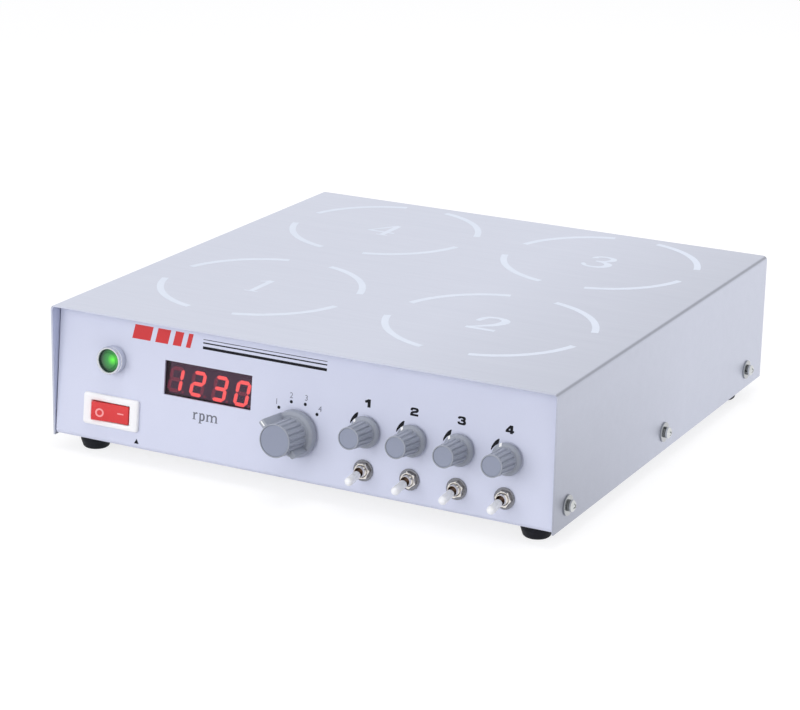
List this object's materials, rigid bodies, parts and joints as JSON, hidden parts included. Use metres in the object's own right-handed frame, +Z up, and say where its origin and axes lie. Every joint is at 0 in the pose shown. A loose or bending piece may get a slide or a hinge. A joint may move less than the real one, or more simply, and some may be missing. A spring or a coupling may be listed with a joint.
{
  "type": "multi-place magnetic stirrer",
  "caption": "Flat square bench stirrer in folded steel with marked vessel places on top, and a display, rocker, selector, speed knobs and toggles on a leaning front panel.",
  "frame": {"origin": "on the floor, under the centre of the bounding box", "axes": "+Z up, the front panel faces -Y, +X to the user's right"},
  "size_m": [0.309, 0.3304, 0.0827],
  "materials": {
    "cover_steel": "brushed stainless sheet",
    "panel_finish": "pale satin lavender-silver, printed",
    "fastener_steel": "bright plated",
    "spring_steel": "dark plated",
    "foot_rubber": "matte black",
    "lamp_chrome": "bright plated",
    "lamp_green": "translucent green, lit",
    "switch_white": "white moulded",
    "rocker_red": "red moulded",
    "terminal_brass": "tinned brass",
    "display_tint": "dark red tinted",
    "display_grey": "dark grey face",
    "board_green": "solder mask",
    "spacer_brass": "plain brass",
    "knob_grey": "grey moulded",
    "cap_grey": "blue-grey inlay with a spun sheen",
    "shaft_steel": "turned",
    "switch_phenolic": "brown phenolic",
    "nut_chrome": "bright plated",
    "control_can": "pressed steel",
    "lever_white": "white nylon",
    "rotor_aluminium": "turned",
    "magnet_ferrite": "ferrite",
    "motor_can": "plated can",
    "bracket_steel": "folded sheet",
    "core_iron": "varnished laminations",
    "coil_wrap": "wrapped winding",
    "rear_black": "black moulded"
  },
  "bodies": {
    "housing": {"chassis": "panel_finish", "top_cover": "cover_steel", "cover_screws": "fastener_steel", "cover_spring_washers": "spring_steel", "cover_washers": "fastener_steel", "feet": "foot_rubber", "foot_screws": "fastener_steel", "lamp_bezel": "lamp_chrome", "lamp_lens": "lamp_green", "lamp_nut": "nut_chrome", "power_switch_body": "switch_white", "power_terminals": "terminal_brass", "display_window": "display_tint", "display_module": "display_grey", "display_board": "board_green", "display_spacers": "spacer_brass", "selector_switch": "switch_phenolic", "selector_nut": "nut_chrome", "potentiometers": "control_can", "potentiometer_nuts": "nut_chrome", "toggle_switches": "nut_chrome", "toggle_nuts": "nut_chrome", "toggle_washers": "fastener_steel", "motors": "motor_can", "motor_brackets": "bracket_steel", "speed_sensors": "board_green", "transformer_core": "core_iron", "transformer_coil": "coil_wrap", "control_board": "board_green", "cord_gland": "rear_black", "fuse_holder": "rear_black"},
    "power_rocker": {"power_rocker": "rocker_red"},
    "selector": {"selector_knob": "knob_grey", "selector_cap": "cap_grey", "selector_shaft": "shaft_steel"},
    "fuse_cap": {"fuse_cap": "rear_black"},
    "speed_1": {"speed_knob_1": "knob_grey", "speed_cap_1": "cap_grey", "speed_shaft_1": "shaft_steel"},
    "toggle_1": {"toggle_lever_1": "lever_white"},
    "rotor_1": {"rotor_1": "rotor_aluminium", "rotor_magnets_1": "magnet_ferrite"},
    "speed_2": {"speed_knob_2": "knob_grey", "speed_cap_2": "cap_grey", "speed_shaft_2": "shaft_steel"},
    "toggle_2": {"toggle_lever_2": "lever_white"},
    "rotor_2": {"rotor_2": "rotor_aluminium", "rotor_magnets_2": "magnet_ferrite"},
    "speed_3": {"speed_knob_3": "knob_grey", "speed_cap_3": "cap_grey", "speed_shaft_3": "shaft_steel"},
    "toggle_3": {"toggle_lever_3": "lever_white"},
    "rotor_3": {"rotor_3": "rotor_aluminium", "rotor_magnets_3": "magnet_ferrite"},
    "speed_4": {"speed_knob_4": "knob_grey", "speed_cap_4": "cap_grey", "speed_shaft_4": "shaft_steel"},
    "toggle_4": {"toggle_lever_4": "lever_white"},
    "rotor_4": {"rotor_4": "rotor_aluminium", "rotor_magnets_4": "magnet_ferrite"}
  },
  "joints": [
    {"name": "power_rock", "type": "hinge", "parent": "housing", "child": "power_rocker", "pos_m": [-0.113, -0.14122, 0.02739], "axis": [0, -0.1045, -0.9945], "range_deg": [0, 16]},
    {"name": "selector_turn", "type": "hinge", "parent": "housing", "child": "selector", "pos_m": [0.0011, -0.14138, 0.03535], "axis": [0, -0.9945, 0.1045], "range_deg": [-90, 0]},
    {"name": "speed_turn_1", "type": "hinge", "parent": "housing", "child": "speed_1", "pos_m": [0.0417, -0.14058, 0.04301], "axis": [0, -0.9945, 0.1045], "range_deg": [-195, 105]},
    {"name": "speed_turn_2", "type": "hinge", "parent": "housing", "child": "speed_2", "pos_m": [0.06845, -0.14058, 0.04301], "axis": [0, -0.9945, 0.1045], "range_deg": [-189, 111]},
    {"name": "speed_turn_3", "type": "hinge", "parent": "housing", "child": "speed_3", "pos_m": [0.0952, -0.14058, 0.04301], "axis": [0, -0.9945, 0.1045], "range_deg": [-189, 111]},
    {"name": "speed_turn_4", "type": "hinge", "parent": "housing", "child": "speed_4", "pos_m": [0.12195, -0.14058, 0.04301], "axis": [0, -0.9945, 0.1045], "range_deg": [-174, 126]},
    {"name": "toggle_flip_1", "type": "hinge", "parent": "housing", "child": "toggle_1", "pos_m": [0.0417, -0.14571, 0.02294], "axis": [-1, 0, 0], "range_deg": [0, 25.6]},
    {"name": "toggle_flip_2", "type": "hinge", "parent": "housing", "child": "toggle_2", "pos_m": [0.06845, -0.14571, 0.02294], "axis": [-1, 0, 0], "range_deg": [0, 25.6]},
    {"name": "toggle_flip_3", "type": "hinge", "parent": "housing", "child": "toggle_3", "pos_m": [0.0952, -0.14571, 0.02294], "axis": [-1, 0, 0], "range_deg": [0, 25.6]},
    {"name": "toggle_flip_4", "type": "hinge", "parent": "housing", "child": "toggle_4", "pos_m": [0.12195, -0.14571, 0.02294], "axis": [-1, 0, 0], "range_deg": [0, 25.6]},
    {"name": "rotor_spin_1", "type": "hinge", "parent": "housing", "child": "rotor_1", "pos_m": [-0.07, -0.05379, 0.0827], "axis": [0, 0, 1], "continuous": true},
    {"name": "rotor_spin_2", "type": "hinge", "parent": "housing", "child": "rotor_2", "pos_m": [0.07, -0.05379, 0.0827], "axis": [0, 0, 1], "continuous": true},
    {"name": "rotor_spin_3", "type": "hinge", "parent": "housing", "child": "rotor_3", "pos_m": [0.07, 0.09121, 0.0827], "axis": [0, 0, 1], "continuous": true},
    {"name": "rotor_spin_4", "type": "hinge", "parent": "housing", "child": "rotor_4", "pos_m": [-0.07, 0.09121, 0.0827], "axis": [0, 0, 1], "continuous": true},
    {"name": "fuse_cap_turn", "type": "hinge", "parent": "housing", "child": "fuse_cap", "pos_m": [0.088, 0.15421, 0.0337], "axis": [0, 1, 0], "range_deg": [0, 90]}
  ]
}
